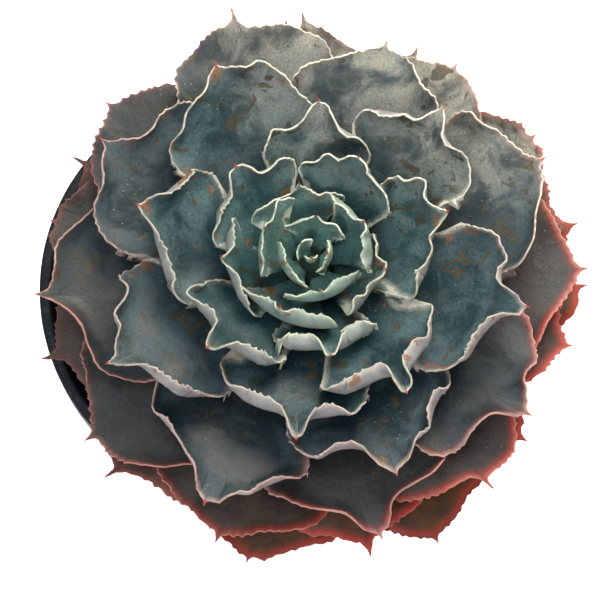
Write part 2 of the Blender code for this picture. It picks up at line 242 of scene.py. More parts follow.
class Leaf:
    """The size, place and surface of the leaf of one age. Along it, s is the distance from the stem and w is
    the distance across from the midline."""

    def __init__(self, age, crown_height):
        self.age = age
        self.rng = np.random.default_rng(SEED + age)
        self.azimuth = math.radians(BUD_AZIMUTH - TURN_PER_LEAF * age)
        self.lean = math.radians(LEAN.get(age, 0))
        self.length = LEAF_LENGTH * by_age(LENGTH_SHARE, age)
        self.reach = self.length * REACH.get(age, 1)
        self.half_width = LEAF_WIDTH / 2 * by_age(WIDTH_SHARE, age) * WIDER.get(age, 1)
        self.thickness = LEAF_THICKNESS * by_age(THICKNESS_SHARE, age)
        self.base_thickness = LEAF_BASE_THICKNESS * by_age(THICKNESS_SHARE, age)
        self.base_radius = STEM_RADIUS * (1 - math.exp(-(age + 0.7) / CROWN_WIDENING))
        self.base_height = crown_height - RISE_PER_LEAF * age
        self.scale = self.half_width / (LEAF_WIDTH / 2)
        self.curl_width = min(CURL_WIDTH, CURL_WIDTH_SHARE * self.half_width)
        self.opening = by_age(OPENING, age)
        bend = math.radians(CURLING_IN.get(age) or by_age(BEND, age))
        cad_bend = math.radians(by_age(CAD_BEND, age))
        longer = math.sin(cad_bend / 2) / cad_bend / (math.sin(bend / 2) / bend)
        self.length *= longer
        self.reach *= longer
        self.start = math.radians(by_age(ELEVATION, age)) - bend / 2
        self.curve = bend / self.length

    def surface(self, s, w):
        """Points on the leaf's curved surface, from the plant's axis."""
        elevation = self.start + self.curve * s
        out = self.base_radius + (np.sin(elevation) - math.sin(self.start)) / self.curve
        up = self.base_height - (np.cos(elevation) - math.cos(self.start)) / self.curve
        angle = self.azimuth + self.lean * s / self.length
        away = out * (self.opening + (1 - self.opening) * np.cos(w / out))
        aside = w * self.opening + (1 - self.opening) * out * np.sin(w / out)
        x = away * np.cos(angle) - aside * np.sin(angle)
        y = away * np.sin(angle) + aside * np.cos(angle)
        return np.stack((x, y, up), -1)

    def plain_edge(self, u, spiked=True):
        """The flattened outline without lobes or teeth. u is 0 at the tip and 1 or -1 low on the sides."""
        size = abs(u)
        q = np.clip(size / SHOULDER, 0, 1)
        rounded_part = (1 - q ** ROUND_POWERS[0]) ** ROUND_POWERS[1]
        point = (1 - POINT_SHARE) * rounded_part + POINT_SHARE * (1 - q) ** POINT_POWER
        t = smooth((size - SHOULDER) / (1 - SHOULDER))
        wide = np.where(size <= SHOULDER, np.sin(q * math.pi / 2), 1 + (NARROWED_WIDTH - 1) * t)
        across = self.half_width * wide
        share = max(SPIKE_SHARE, SHORTEST_SPIKE / self.reach)
        spike = share * np.exp(-across / SPIKE_WIDTH)
        top = WIDEST_AT + (1 - share - WIDEST_AT) * point + (spike if spiked else 0)
        low = WIDEST_AT + (NARROWING_ENDS_AT - WIDEST_AT) * t
        return self.reach * np.where(size <= SHOULDER, top, low), np.copysign(across, u)

    def columns(self, step):
        """Values of u about a step apart along the edge, closer near the tip, with their places along it."""
        u = np.linspace(-1, 1, 2 * OUTLINE_SAMPLES + 1)
        along, across = self.plain_edge(u)
        gaps = np.hypot(np.diff(along), np.diff(across))
        arc = np.concatenate(([0], np.cumsum(gaps)))
        arc -= arc[OUTLINE_SAMPLES]
        weight = gaps * (1 + TIP_CROWDING * np.exp(-((arc[1:] / TIP_CROWDED) ** 2)))
        total = np.concatenate(([0], np.cumsum(weight)))
        count = 2 * max(FEWEST_COLUMNS, int(total[-1] / step / 2))
        chosen = np.interp(np.linspace(0, total[-1], count + 1), total, u)
        chosen[count // 2] = 0
        return chosen, np.interp(chosen, u, arc)

    def edges(self, u, arc):
        """The outline with its lobes, and the one that also has the teeth and the spike at the tip."""
        along, across = self.plain_edge(u)
        out_s, out_w = outward_of(along, across)
        start = arc - arc[0]
        length = start[-1]
        lobes = wander(self.rng, length, LOBE_SPACING * self.scale)(start)
        lobes = lobes + SMALL_LOBE_SHARE * wander(self.rng, length, SMALL_LOBE_SPACING * self.scale)(start)
        phase = math.pi * start / TOOTH_SPACING + 1.6 * wander(self.rng, length, 5.0)(start)
        teeth = (1 - 2 * abs(np.sin(phase))) * (0.6 + 0.4 * wander(self.rng, length, 6.0)(start))
        clear = smooth((abs(arc) - SMOOTH_TIP * self.scale) / (SMOOTH_TIP_FADE * self.scale))
        clear = clear * smooth((along / self.reach - 0.3) / 0.15)
        lobes *= LOBE_HEIGHT * self.scale**0.6 * clear
        teeth *= TOOTH_HEIGHT * (0.5 + 0.5 * self.scale) * clear
        calm = self.plain_edge(u, spiked=False)
        calm = np.stack((calm[0] + lobes * out_s, calm[1] + lobes * out_w))
        full = np.stack((along + (lobes + teeth) * out_s, across + (lobes + teeth) * out_w))
        return calm, full


def outward_of(along, across):
    """The unit vectors square to a flattened outline and away from the leaf."""
    out_s = np.gradient(across)
    out_w = -np.gradient(along)
    size = np.maximum(np.hypot(out_s, out_w), 1e-9)
    return out_s / size, out_w / size


def nearest_on_edge(s, w, edge, near_rim):
    """For each point of the flattened blade: its distance inside the edge, the way out there, and the column.
    Only points near the rim can be outside."""
    shape = s.shape
    points = np.stack((s.ravel(), w.ravel()), -1)
    columns = np.linspace(0, edge.shape[1] - 1, 2 * edge.shape[1])
    known = np.arange(edge.shape[1])
    line = np.stack([np.interp(columns, known, values) for values in edge], -1)
    out = np.stack(outward_of(*line.T), -1)
    best = np.empty(len(points), int)
    for k in range(0, len(points), BATCH):
        part = points[k : k + BATCH]
        best[k : k + BATCH] = ((part[:, None] - line[None]) ** 2).sum(-1).argmin(1)
    gap = line[best] - points
    outside = ((gap * out[best]).sum(1) < 0) & near_rim.ravel()
    distance = np.linalg.norm(gap, axis=1) * np.where(outside, -1, 1)
    return distance.reshape(shape), out[best].reshape(*shape, 2), columns[best].reshape(shape)


def normals_of(points):
    """Unit normals of a grid of points, on the side of the leaf's upper face."""
    along = np.gradient(points, axis=0)
    across = np.gradient(points, axis=1)
    normal = np.cross(along, across)
    return normal / np.maximum(np.linalg.norm(normal, axis=-1), 1e-9)[..., None]


class Room:
    """How far the CAD leaves lie apart, for keeping curled margins clear of the neighbours."""

    def __init__(self, nodes):
        points, faces, self.owner = [], [], []
        for number, obj in enumerate(nodes):
            first = len(points)
            points += [v.co.copy() for v in obj.data.vertices]
            for polygon in obj.data.polygons:
                faces.append([first + k for k in polygon.vertices])
                self.owner.append(number)
        self.tree = BVHTree.FromPolygons(points, faces)

    def along_ray(self, start, way, own, limit):
        """Distance in millimetres from start to the next leaf that isn't its own."""
        gone = 0.0
        for _ in range(6):
            hit, _, face, distance = self.tree.ray_cast(Vector(start + way * gone), Vector(way), limit - gone)
            if hit is None:
                return limit / MM
            gone += distance
            if self.owner[face] != own:
                return gone / MM
            gone += 0.1 * MM
        return limit / MM


def tight(values, reach):
    """The least value within reach places, then smoothed."""
    padded = np.pad(values, reach, mode="edge")
    least = np.min([padded[k : k + len(values)] for k in range(2 * reach + 1)], axis=0)
    kernel = np.hanning(2 * reach + 3)[1:-1]
    return np.convolve(np.pad(least, reach, mode="edge"), kernel / kernel.sum(), mode="valid")


def wanted_turns(leaf, arc):
    """The turn of the curling strip at its edge, in radians, at each column, if nothing were in the way."""
    start = arc - arc[0]
    length = start[-1]
    waves = 0.85 * wander(leaf.rng, length, 17 * leaf.scale + 2)(start)
    waves += 0.42 * wander(leaf.rng, length, 8 * leaf.scale + 1.5)(start)
    near = 0.5 - 0.5 * math.sin(leaf.azimuth + leaf.lean)
    turn = math.radians(by_age(CURL_TURN, leaf.age)) * (0.75 + 0.5 * leaf.rng.random())
    turn = turn + math.radians(by_age(RUFFLE_TURN, leaf.age)) * waves
    turn *= FAR_SIDE_CURL + (1 - FAR_SIDE_CURL) * near
    side = arc / (0.5 * length)
    for low, high, extra in LIPS.get(leaf.age, ()):
        turn = turn + math.radians(extra) * smooth((side - low) / LIP_FADE) * smooth((high - side) / LIP_FADE)
    turn *= smooth((1 - abs(side)) / CURL_ENDS_OVER)
    turn *= smooth((abs(arc) - FLAT_TIP * leaf.scale) / (FLAT_TIP_FADE * leaf.scale))
    alike = 1 - smooth((abs(arc) - ALIKE_UNTIL * leaf.scale) / (ALIKE_FADE * leaf.scale))
    return turn + alike * (np.interp(-arc, arc, turn) - turn) / 2


def allowed_turns(turn, leaf, rim, normal, room, own, origin):
    """The turns, less where a neighbour is close above or below the rim."""
    places = np.arange(len(turn))
    reach = max(2, int(TIGHT_REACH / COLUMN_STEP))
    most = []
    for way in (normal, -normal):
        limit = FARTHEST_NEIGHBOUR * MM
        free = [room.along_ray(origin + rim[k] * MM, way[k], own, limit) for k in places[::2]]
        free = np.interp(places, places[::2], tight(np.array(free), reach))
        most.append(2 * free * ROOM_SHARE / leaf.curl_width)
    up, down = most
    turn = np.where(turn > 0, up * np.tanh(turn / np.maximum(up, LEAST_TURN)), turn)
    return np.where(turn < 0, down * np.tanh(turn / np.maximum(down, LEAST_TURN)), turn)


def flat_grid(leaf, u, calm, full):
    """The points of the flattened blade: v, which is 0 at the stem and 1 on the edge, and s and w."""
    foot = u * math.radians(BASE_HALF_SPAN) * leaf.base_radius
    span = np.hypot(full[0], full[1] - foot)
    inner = 1 - RIM_DEPTHS[0] * LAST_BLADE_DEPTH / span
    main = np.linspace(0, 1, ROWS_IN_BLADE + 1)[:-1] ** ROW_CROWDING
    v = np.stack([t * inner for t in main] + [1 - depth / span for depth in RIM_DEPTHS])
    detail = smooth((v - DETAIL_FROM) / (1 - DETAIL_FROM)) * (full - calm)[:, None]
    return v, v * calm[0] + detail[0], foot + (calm[1] - foot) * v + detail[1]


def curled(leaf, s, w, flat, normal, depth, way, turn):
    """The blade's points with the strip along the margin bent into an arc, whose edge has the turn given."""
    ahead = (leaf.surface(s + NUDGE, w) - flat) / NUDGE
    aside = (leaf.surface(s, w + NUDGE) - flat) / NUDGE
    outward = ahead * way[..., :1] + aside * way[..., 1:]
    bend = turn / leaf.curl_width
    bend = np.where(abs(bend) < LEAST_BEND, LEAST_BEND, bend)
    strip = np.clip(leaf.curl_width - depth, 0, None)
    rise = (1 - np.cos(bend * strip)) / bend
    pull = strip - np.sin(bend * strip) / bend
    return flat + normal * rise[..., None] - outward * pull[..., None]


def thickness_of(leaf, v, s, w, distance):
    """Thickest along the middle, thin at the rim, rounded off toward the edge and nothing on it."""
    body = leaf.base_thickness + (leaf.thickness - leaf.base_thickness) * smooth(v / 0.5)
    sides = (1 - np.clip(w / leaf.half_width, -1, 1) ** 2) * (1 - np.clip(s / leaf.reach, 0, 1) ** 3)
    thick = RIM_THICKNESS + (body - RIM_THICKNESS) * sides * smooth(distance / RIM_REGION)
    radius = 0.5 * RIM_THICKNESS
    thick = thick * np.sqrt(1 - (1 - np.clip(distance / radius, 0, 1)) ** 2)
    thick = np.maximum(thick, LEAST_THICKNESS)
    thick[-1] = 0
    return thick


def blade(leaf, room, own, origin):
    """Middle surface, normals and thickness of a leaf on a grid, and where on the leaf each point is."""
    step = COLUMN_STEP if leaf.age <= OLDEST_FINE_LEAF else COARSER * COLUMN_STEP
    u, arc = leaf.columns(step)
    calm, full = leaf.edges(u, arc)
    v, s, w = flat_grid(leaf, u, calm, full)
    near_rim = v > NEAR_RIM
    distance = nearest_on_edge(s, w, full, near_rim)[0]
    depth, way, column = nearest_on_edge(s, w, calm, near_rim)
    flat = leaf.surface(s, w)
    normal = normals_of(flat)
    turns = allowed_turns(wanted_turns(leaf, arc), leaf, flat[-1], normal[-1], room, own, origin)
    turn = np.interp(column, np.arange(len(arc)), turns)
    points = curled(leaf, s, w, flat, normal, depth, way, turn)
    facts = {
        "edge": np.maximum(distance, 0),
        "along": s / leaf.reach,
        "tip": np.hypot(s - leaf.reach, w) / (0.35 + 0.65 * leaf.scale),
    }
    return points, normals_of(points), thickness_of(leaf, v, s, w, distance), facts


def leaf_faces(rows, wide):
    """Faces that close a leaf. The upper points come first, row by row, then the lower ones off the edge."""
    index = np.arange(rows * wide).reshape(rows, wide)
    under = np.concatenate((index[:-1] + rows * wide, index[-1:]))
    top = np.stack((index[:-1, :-1], index[1:, :-1], index[1:, 1:], index[:-1, 1:]), -1)
    bottom = np.stack((under[:-1, :-1], under[:-1, 1:], under[1:, 1:], under[1:, :-1]), -1)
    faces = top.reshape(-1, 4).tolist() + bottom.reshape(-1, 4).tolist()
    for side, order in ((0, 1), (wide - 1, -1)):
        for row in range(rows - 1):
            quad = [index[row, side], under[row, side], under[row + 1, side], index[row + 1, side]][::order]
            faces.append(list(dict.fromkeys(int(k) for k in quad)))
    for k in range(wide - 1):
        faces.append([int(index[0, k]), int(index[0, k + 1]), int(under[0, k + 1]), int(under[0, k])])
    return faces


def leaf_mesh(name, leaf, room, own, origin):
    """A closed mesh of a leaf with its facts as point attributes."""
    points, normal, thick, facts = blade(leaf, room, own, origin)
    rows, wide = thick.shape
    half = normal * thick[..., None] / 2
    upper = (points + half).reshape(-1, 3)
    lower = (points - half)[:-1].reshape(-1, 3)
    places = np.concatenate((upper, lower)) * MM + origin
    mesh = bpy.data.meshes.new(name)
    mesh.from_pydata(places.tolist(), [], leaf_faces(rows, wide))
    for key, values in facts.items():
        put_values(mesh, key, np.concatenate((values.ravel(), values[:-1].ravel())))
    back = np.concatenate((np.zeros((rows - 1) * wide), np.full(wide, 0.5), np.ones((rows - 1) * wide)))
    put_values(mesh, "under", back)
    put_values(mesh, "ripe", np.full(len(back), leaf.age / OLDEST_LEAF))
    put_values(mesh, "tone", np.full(len(back), leaf.rng.random()))
    round_stem = np.arctan2(places[:, 1] - origin[1], places[:, 0] - origin[0])
    # How far each point faces the reddened side, where painted glow goes, and the side lit by the key lamp,
    # where painted light goes
    for key, side in (("red_and_glow_side", RED_AND_GLOW_SIDE), ("painted_lit_side", PAINTED_LIGHT_SIDE)):
        put_values(mesh, key, 0.5 + 0.5 * np.cos(round_stem - math.radians(side)))
    mesh.shade_smooth()
    mesh.validate()
    return mesh


def put_values(mesh, name, values):
    attribute = mesh.attributes.new(name, "FLOAT", "POINT")
    attribute.data.foreach_set("value", np.asarray(values, np.float32))


# ---------------------------------------------------------------- materials


class Graph:
    """A node material under construction, around one Principled shader."""

    def __init__(self, name):
        self.material = bpy.data.materials.new(name)
        self.material.use_nodes = True
        self.tree = self.material.node_tree
        self.shader = self.tree.nodes["Principled BSDF"]
        self.coordinates = self.node("ShaderNodeTexCoord").outputs["Object"]

    def node(self, kind, **settings):
        made = self.tree.nodes.new(kind)
        for key, value in settings.items():
            setattr(made, key, value)
        return made

    def feed(self, socket, value):
        if isinstance(value, bpy.types.NodeSocket):
            self.tree.links.new(value, socket)
        elif isinstance(value, (tuple, list)) and len(value) == 3 and socket.type == "RGBA":
            socket.default_value = (*value, 1)
        else:
            socket.default_value = value

    def fact(self, name):
        return self.node("ShaderNodeAttribute", attribute_name=name).outputs["Fac"]

    def maths(self, operation, a, b=0.0, clamp=False):
        made = self.node("ShaderNodeMath", operation=operation, use_clamp=clamp)
        self.feed(made.inputs[0], a)
        self.feed(made.inputs[1], b)
        return made.outputs[0]

    def plus(self, a, b, clamp=False):
        return self.maths("ADD", a, b, clamp)

    def minus(self, a, b):
        return self.maths("SUBTRACT", a, b)

    def times(self, a, b):
        return self.maths("MULTIPLY", a, b)

    def fade(self, value, low, high, at_low=0.0, at_high=1.0):
        """value moved from low..high to at_low..at_high, smoothly and without going past."""
        made = self.node("ShaderNodeMapRange", interpolation_type="SMOOTHSTEP")
        for socket, number in zip(made.inputs, (value, low, high, at_low, at_high)):
            self.feed(socket, number)
        return made.outputs[0]

    def stretched(self, scale):
        made = self.node("ShaderNodeMapping")
        self.feed(made.inputs["Vector"], self.coordinates)
        made.inputs["Scale"].default_value = scale
        return made.outputs[0]

    def noise(self, size_mm, detail=3.0, rough=0.55, warp=0.0, vector=None):
        made = self.node("ShaderNodeTexNoise")
        self.feed(made.inputs["Vector"], vector or self.coordinates)
        made.inputs["Scale"].default_value = 1 / (size_mm * MM)
        made.inputs["Detail"].default_value = detail
        made.inputs["Roughness"].default_value = rough
        made.inputs["Distortion"].default_value = warp
        return made.outputs["Fac"]

    def spots(self, size_mm, vector=None):
        made = self.node("ShaderNodeTexVoronoi")
        self.feed(made.inputs["Vector"], vector or self.coordinates)
        made.inputs["Scale"].default_value = 1 / (size_mm * MM)
        return made.outputs["Distance"]

    def ramp(self, value, stops):
        made = self.node("ShaderNodeValToRGB")
        bar = made.color_ramp
        while len(bar.elements) < len(stops):
            bar.elements.new(1.0)
        for element, (place, colour) in zip(bar.elements, stops):
            element.position = place
            element.color = (*colour, 1)
        self.feed(made.inputs[0], value)
        return made.outputs["Color"]

    def mix(self, share, a, b, blend="MIX"):
        made = self.node("ShaderNodeMix", data_type="RGBA", blend_type=blend)
        self.feed(made.inputs[0], share)
        self.feed(made.inputs[6], a)
        self.feed(made.inputs[7], b)
        return made.outputs[2]

    def bump(self, height, depth_mm, before=None):
        made = self.node("ShaderNodeBump")
        made.inputs["Strength"].default_value = 1.0
        made.inputs["Distance"].default_value = depth_mm * MM
        self.feed(made.inputs["Height"], height)
        if before is not None:
            self.feed(made.inputs["Normal"], before)
        return made.outputs[0]


# Colours of leaves by age, from the bud to the oldest: bare skin, bloom, rim and lower face
FACE = (
    (0.0, (0.100, 0.205, 0.178)), (0.15, (0.024, 0.078, 0.079)), (0.3, (0.007, 0.028, 0.035)),
    (0.45, (0.007, 0.020, 0.027)), (0.6, (0.016, 0.018, 0.018)), (0.72, (0.021, 0.018, 0.015)),
    (0.85, (0.028, 0.010, 0.009)), (1.0, (0.028, 0.006, 0.005)),
)
BLOOM = (
    (0.0, (0.215, 0.345, 0.305)), (0.2, (0.075, 0.140, 0.146)), (0.4, (0.042, 0.074, 0.088)),
    (0.55, (0.034, 0.043, 0.048)), (0.7, (0.052, 0.048, 0.041)), (0.85, (0.072, 0.036, 0.031)),
    (1.0, (0.056, 0.015, 0.012)),
)
RIM = (
    (0.0, (0.44, 0.56, 0.43)), (0.2, (0.52, 0.53, 0.43)), (0.42, (0.46, 0.38, 0.34)),
    (0.6, (0.56, 0.22, 0.18)), (0.8, (0.44, 0.08, 0.06)), (1.0, (0.15, 0.03, 0.025)),
)
BACK = (
    (0.0, (0.20, 0.30, 0.24)), (0.15, (0.27, 0.31, 0.28)), (0.4, (0.33, 0.30, 0.31)),
    (0.6, (0.20, 0.12, 0.125)), (0.8, (0.12, 0.040, 0.038)), (1.0, (0.09, 0.02, 0.018)),
)


# Pale chalk, painted on the side facing the key lamp as painted light
CHALK_AS_PAINTED_LIGHT = (0.270, 0.272, 0.235)
STAIN = (0.044, 0.040, 0.020)
DRIED_RING = (0.050, 0.034, 0.020)
PIT = (0.035, 0.035, 0.028)
DUST = (0.42, 0.43, 0.40)
RUST = ((0.040, 0.024, 0.008), (0.120, 0.052, 0.010))
# Red of sun-reddened rims, which also serves as a painted glow of light shining through them
RED_RIM_AND_PAINTED_GLOW = (0.400, 0.034, 0.024)
DRIED = (0.20, 0.085, 0.035)
SHADED_RIM = (0.10, 0.05, 0.055)
LIT_RIM = (0.86, 0.84, 0.70)
RED_POINT = (0.36, 0.022, 0.022)


def bloom_with_base_shade(g, blotch, grain):
    """How thick the bloom is: more toward the margin, less near the stem, cloudy. Thinning near the stem also
    stands for painted shade at the leaf bases, where the leaves overlap.
    """
    bloom_and_base_shade = g.plus(g.fade(g.fact("edge"), 16, 1.5, 0.0, 0.7), g.fade(blotch, 0.35, 0.66, -0.25, 0.7))
    # Painted shade: the bloom thins near the stem, so leaf bases stay darker where leaves overlap
    bloom_and_base_shade = g.times(bloom_and_base_shade, g.fade(g.fact("along"), 0.25, 0.75, 0.1, 1.0))
    bloom_and_base_shade = g.plus(bloom_and_base_shade, g.times(g.minus(g.fact("tone"), 0.5), 0.3))
    return g.plus(bloom_and_base_shade, g.times(g.minus(grain, 0.5), 0.6), clamp=True)


def painted_lit_side(g, colour, ripe, blotch):
    """Pale chalk painted on the leaves of the side that faces the key lamp, as painted light; it thins toward
    the stem, leaving the leaf bases darker as painted shade.
    """
    # Painted light: paler where a leaf faces the key lamp, most toward the tips
    painted_light_share = g.times(g.fade(g.fact("painted_lit_side"), 0.74, 0.98), g.fade(blotch, 0.34, 0.64, 0.1, 1.0))
    painted_light_share = g.times(painted_light_share, g.fade(g.fact("along"), 0.4, 0.92, 0.05, 1.0))
    painted_light_share = g.times(painted_light_share, g.fade(ripe, 0.12, 0.32))
    return g.mix(painted_light_share, colour, CHALK_AS_PAINTED_LIGHT)


def stained(g, colour):
    """Stains where drops have dried, rings round some of them, pits, dust and a fine mottle."""
    stain = g.fade(g.noise(8, 3.0, 0.6, 0.6), 0.58, 0.62)
    stain = g.times(stain, g.fade(g.noise(34, 1.0), 0.42, 0.54, 0.0, 0.85))
    colour = g.mix(stain, colour, STAIN)
    drop = g.plus(g.spots(12), g.fade(g.noise(3, 2.0), 0.3, 0.7, -0.05, 0.05))
    ring = g.times(g.fade(drop, 0.13, 0.17), g.fade(drop, 0.22, 0.18))
    ring = g.times(ring, g.fade(g.noise(30, 2.0), 0.46, 0.54, 0.0, 0.75))
    colour = g.mix(ring, colour, DRIED_RING)
    pits = g.times(g.fade(g.spots(3.4), 0.20, 0.10), g.fade(g.noise(22, 2.0), 0.44, 0.58, 0.0, 0.8))
    colour = g.mix(pits, colour, PIT)
    dust = g.fade(g.spots(2.3, g.stretched((1.0, 1.1, 0.9))), 0.14, 0.06, 0.0, 0.5)
    dust = g.times(dust, g.fade(g.noise(26, 2.0), 0.5, 0.65))
    colour = g.mix(dust, colour, DUST)
    mottle = g.fade(g.noise(0.9, 3.0, 0.7), 0.3, 0.7, 0.74, 1.26)
    return g.mix(1.0, colour, mottle, "MULTIPLY")


def sunburnt_with_painted_glow(g, colour, ripe, blotch):
    """Sun has reddened the outer leaves of one side; the red band along their rims is also a painted glow of
    light shining through them.
    """
    red_and_glow_side = g.times(g.fade(g.fact("red_and_glow_side"), 0.5, 0.95, 0.05, 1.0), g.fade(ripe, 0.4, 0.75))
    rusty = g.times(red_and_glow_side, g.fade(ripe, 0.66, 0.84, 0.0, 0.85))
    colour = g.mix(rusty, colour, g.mix(g.fade(blotch, 0.35, 0.65), *RUST))
    # Red near the rims: real reddening and a painted glow of light shining through them
    return g.mix(g.times(red_and_glow_side, g.fade(g.fact("edge"), 4.5, 0.3, 0.04, 0.95)), colour, RED_RIM_AND_PAINTED_GLOW)


def lower_face(g, ripe):
    """The colour of the lower face, which is like the upper one near the stem."""
    back = g.mix(g.fade(g.noise(6, 3.0), 0.3, 0.7, 0.0, 0.45), g.ramp(ripe, BACK), g.ramp(ripe, BLOOM))
    return g.mix(g.fade(g.fact("along"), 0.52, 0.34), back, g.ramp(ripe, FACE))


def rim_colour(g, ripe):
    """Pale where there is light, darker on old leaves of the shaded side."""
    # Painted shade on the rims of old leaves on the side away from the reddened one
    shaded = g.times(g.fade(g.fact("red_and_glow_side"), 0.7, 0.2), g.fade(ripe, 0.5, 0.7))
    # Painted highlight on the rims that face the key lamp
    lit = g.times(g.fade(g.fact("painted_lit_side"), 0.6, 0.95), g.fade(ripe, 0.6, 0.45, 0.0, 0.7))
    return g.mix(lit, g.mix(shaded, g.ramp(ripe, RIM), SHADED_RIM), LIT_RIM)


def margined(g, colour, ripe):
    """A flush next to the rim, stronger on the reddened side where it is partly a painted glow, dried
    patches, the pale rim itself with painted highlight and painted shade, and the red point.
    """
    edge, clear_of_stem = g.fact("edge"), g.fade(g.fact("along"), 0.28, 0.46)
    # Stronger on the reddened side, where it is partly a painted glow
    flush_and_glow = g.times(g.fade(edge, 2.2, 0.6, 0.0, 0.4), g.fade(g.fact("red_and_glow_side"), 0.2, 0.8, 0.2, 1.0))
    colour = g.mix(g.times(flush_and_glow, clear_of_stem), colour, g.ramp(ripe, RIM))
    dry = g.times(g.fade(edge, 5.0, 2.0), g.fade(g.noise(7, 3.0, 0.6, 0.5), 0.55, 0.62))
    dry = g.times(dry, g.fade(g.fact("tone"), 0.3, 0.6, 0.0, 0.85))
    colour = g.mix(g.times(dry, g.fade(ripe, 0.5, 0.38, 0.25, 1.0)), colour, DRIED)
    patchy = g.times(g.fade(g.noise(7, 3.0), 0.3, 0.6, 0.45, 0.95), clear_of_stem)
    rim = g.fade(g.plus(edge, g.fade(g.noise(3, 2.0), 0.3, 0.7, 0.0, 0.4)), 0.85, 0.4)
    colour = g.mix(g.times(rim, patchy), colour, rim_colour(g, ripe))
    from_tip = g.plus(g.fact("tip"), g.fade(g.noise(2.5, 2.0), 0.3, 0.7, -0.5, 0.5))
    return g.mix(g.fade(from_tip, 2.6, 1.3, 0.0, 0.95), colour, RED_POINT)


def leaf_material(name):
    """A waxy leaf: a bloom that gathers toward the margin and thins toward the stem as painted shade, pale
    chalk on the side facing the key lamp as painted light, rubbed and stained in patches, reddened rims with
    a painted glow on one side, and a pale rim with painted highlight and painted shade.
    """
    g = Graph(name)
    ripe = g.plus(g.fact("ripe"), g.times(g.minus(g.noise(30, 2.0), 0.5), 0.22))
    blotch = g.noise(14, 4.0, 0.6, 0.6)
    grain = g.noise(1.6, 3.0, 0.65)
    bloom_and_base_shade = bloom_with_base_shade(g, blotch, grain)
    colour = g.mix(bloom_and_base_shade, g.ramp(ripe, FACE), g.ramp(ripe, BLOOM))
    # Painted light: pale chalk on the side facing the key lamp
    colour = stained(g, painted_lit_side(g, colour, ripe, blotch))
    # Reddening and rust, with a painted glow along the rims of one side
    colour = sunburnt_with_painted_glow(g, colour, ripe, blotch)
    colour = g.mix(g.fade(g.fact("under"), 0.45, 0.75), colour, lower_face(g, ripe))
    g.feed(g.shader.inputs["Base Color"], margined(g, colour, ripe))
    g.feed(g.shader.inputs["Roughness"], g.fade(bloom_and_base_shade, 0.0, 1.0, 0.40, 0.62))
    g.shader.inputs["Specular IOR Level"].default_value = 0.36
    g.shader.inputs["Subsurface Weight"].default_value = 0.12
    g.shader.inputs["Subsurface Radius"].default_value = (1.0, 0.45, 0.25)
    g.shader.inputs["Subsurface Scale"].default_value = 2.2 * MM
    g.shader.inputs["Sheen Weight"].default_value = 0.03
    g.shader.inputs["Sheen Roughness"].default_value = 0.5
    relief = g.bump(grain, 0.10)
    relief = g.bump(g.noise(5, 3.0, 0.5), 0.28, relief)
    g.feed(g.shader.inputs["Normal"], relief)
    return g.material


PLASTIC = (0.006, 0.008, 0.012)
PLASTIC_DUST = (0.050, 0.048, 0.045)
PLASTIC_SPECK = (0.20, 0.18, 0.15)
SCUFF = (0.07, 0.075, 0.085)


def pot_material():
    """Moulded dark plastic with dust in its grain and light scuffs."""
    g = Graph("pot_moulded_plastic")
    dusty = g.times(g.fade(g.noise(18, 4.0, 0.6), 0.42, 0.72), g.fade(g.noise(1.2, 2.0), 0.4, 0.62))
    colour = g.mix(g.times(dusty, 0.25), PLASTIC, PLASTIC_DUST)
    colour = g.mix(g.fade(g.spots(4.0), 0.09, 0.03, 0.0, 0.8), colour, PLASTIC_SPECK)
    scuffs = g.fade(g.noise(3, 2.0, 0.5, 0.4, g.stretched((1, 1, 12))), 0.60, 0.70, 0.0, 0.25)
    colour = g.mix(scuffs, colour, SCUFF)
    g.feed(g.shader.inputs["Base Color"], colour)
    g.feed(g.shader.inputs["Roughness"], g.fade(g.noise(7, 3.0), 0.3, 0.7, 0.40, 0.56))
    g.shader.inputs["Specular IOR Level"].default_value = 0.2
    relief = g.bump(g.noise(0.7, 2.0), 0.05)
    g.feed(g.shader.inputs["Normal"], g.bump(g.noise(20, 2.0), 0.03, relief))
    return g.material


PEAT = ((0.012, 0.008, 0.005), (0.060, 0.038, 0.024))
CRUMBS = (0.03, 0.02, 0.014)
# Bark and then pumice, by the grains' own tone
CHUNKS = (
    (0.0, (0.030, 0.018, 0.011)), (0.45, (0.075, 0.040, 0.022)), (0.75, (0.13, 0.085, 0.05)),
    (0.85, (0.36, 0.33, 0.29)), (1.0, (0.50, 0.48, 0.44)),
)


def soil_material():
    """Damp potting mix: dark peat with bark, and pale pumice by the grains' own tone."""
    g = Graph("soil_mix_grains")
    grain = g.fact("grain")
    peat = g.mix(g.fade(g.noise(2.5, 5.0, 0.7), 0.3, 0.7), *PEAT)
    crumbs = g.fade(g.noise(1.0, 4.0, 0.7), 0.3, 0.75, 0.0, 0.6)
    chunk = g.mix(crumbs, g.ramp(grain, CHUNKS), CRUMBS)
    colour = g.mix(g.fade(grain, 0.0005, 0.001), peat, chunk)
    g.feed(g.shader.inputs["Base Color"], colour)
    g.feed(g.shader.inputs["Roughness"], g.fade(g.noise(4, 2.0), 0.3, 0.7, 0.75, 1.0))
    g.feed(g.shader.inputs["Normal"], g.bump(g.noise(0.9, 5.0, 0.7), 0.5))
    return g.material


BARK = ((0.11, 0.075, 0.045), (0.27, 0.20, 0.13))
ALGAE = (0.10, 0.12, 0.06)
GREEN_STEM = (0.020, 0.045, 0.032)
GREEN_FROM = 0.160
GREEN_BY = 0.172


